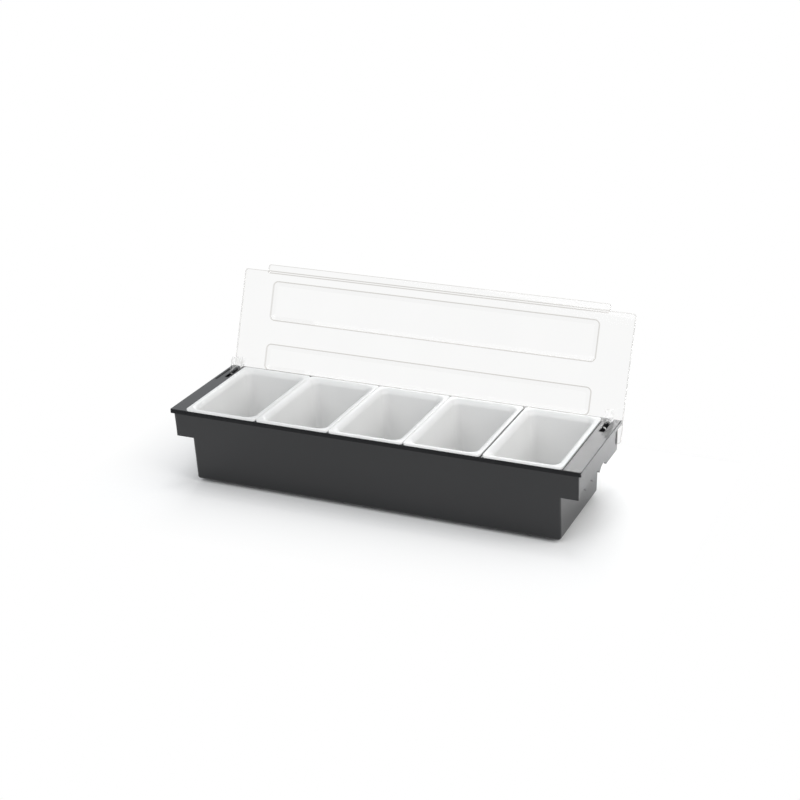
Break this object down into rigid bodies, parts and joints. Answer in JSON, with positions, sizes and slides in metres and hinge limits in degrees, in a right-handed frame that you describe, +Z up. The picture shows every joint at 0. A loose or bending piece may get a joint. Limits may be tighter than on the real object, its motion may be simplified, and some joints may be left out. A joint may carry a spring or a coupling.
{
  "type": "condiment caddy",
  "caption": "Long serving caddy for condiments: a black tray holding a row of white lift-out pots under one clear lid that hinges up at the rear.",
  "frame": {"origin": "centre of the footprint of the whole piece with its lid standing open, on the plane the feet rest on", "axes": "+X along the row of pots towards the end with the wider pot gap, +Y towards the hinge side at the rear, -Y towards the user, +Z up"},
  "size_m": [0.5, 0.2042, 0.2118],
  "materials": {
    "tray": "moulded black plastic, satin gloss with a fine texture",
    "lid": "clear rigid plastic, polished",
    "pot": "moulded white plastic, smooth satin",
    "foot": "matte black rubber"
  },
  "bodies": {
    "tray": {"housing": "tray", "foot_1": "foot", "foot_2": "foot", "foot_3": "foot", "foot_4": "foot"},
    "lid": {"lid": "lid"},
    "pot_1": {"insert_1": "pot"},
    "pot_2": {"insert_2": "pot"},
    "pot_3": {"insert_3": "pot"},
    "pot_4": {"insert_4": "pot"},
    "pot_5": {"insert_5": "pot"}
  },
  "joints": [
    {"name": "lid_hinge", "type": "hinge", "parent": "tray", "child": "lid", "pos_m": [0, 0.03932, 0.0845], "axis": [-1, 0, 0], "range_deg": [-110.1, 0]},
    {"name": "pot_1_lift", "type": "slide", "parent": "tray", "child": "pot_1", "axis": [0, 0, 1], "range_m": [0, 0.1]},
    {"name": "pot_2_lift", "type": "slide", "parent": "tray", "child": "pot_2", "axis": [0, 0, 1], "range_m": [0, 0.1]},
    {"name": "pot_3_lift", "type": "slide", "parent": "tray", "child": "pot_3", "axis": [0, 0, 1], "range_m": [0, 0.1]},
    {"name": "pot_4_lift", "type": "slide", "parent": "tray", "child": "pot_4", "axis": [0, 0, 1], "range_m": [0, 0.1]},
    {"name": "pot_5_lift", "type": "slide", "parent": "tray", "child": "pot_5", "axis": [0, 0, 1], "range_m": [0, 0.1]}
  ]
}
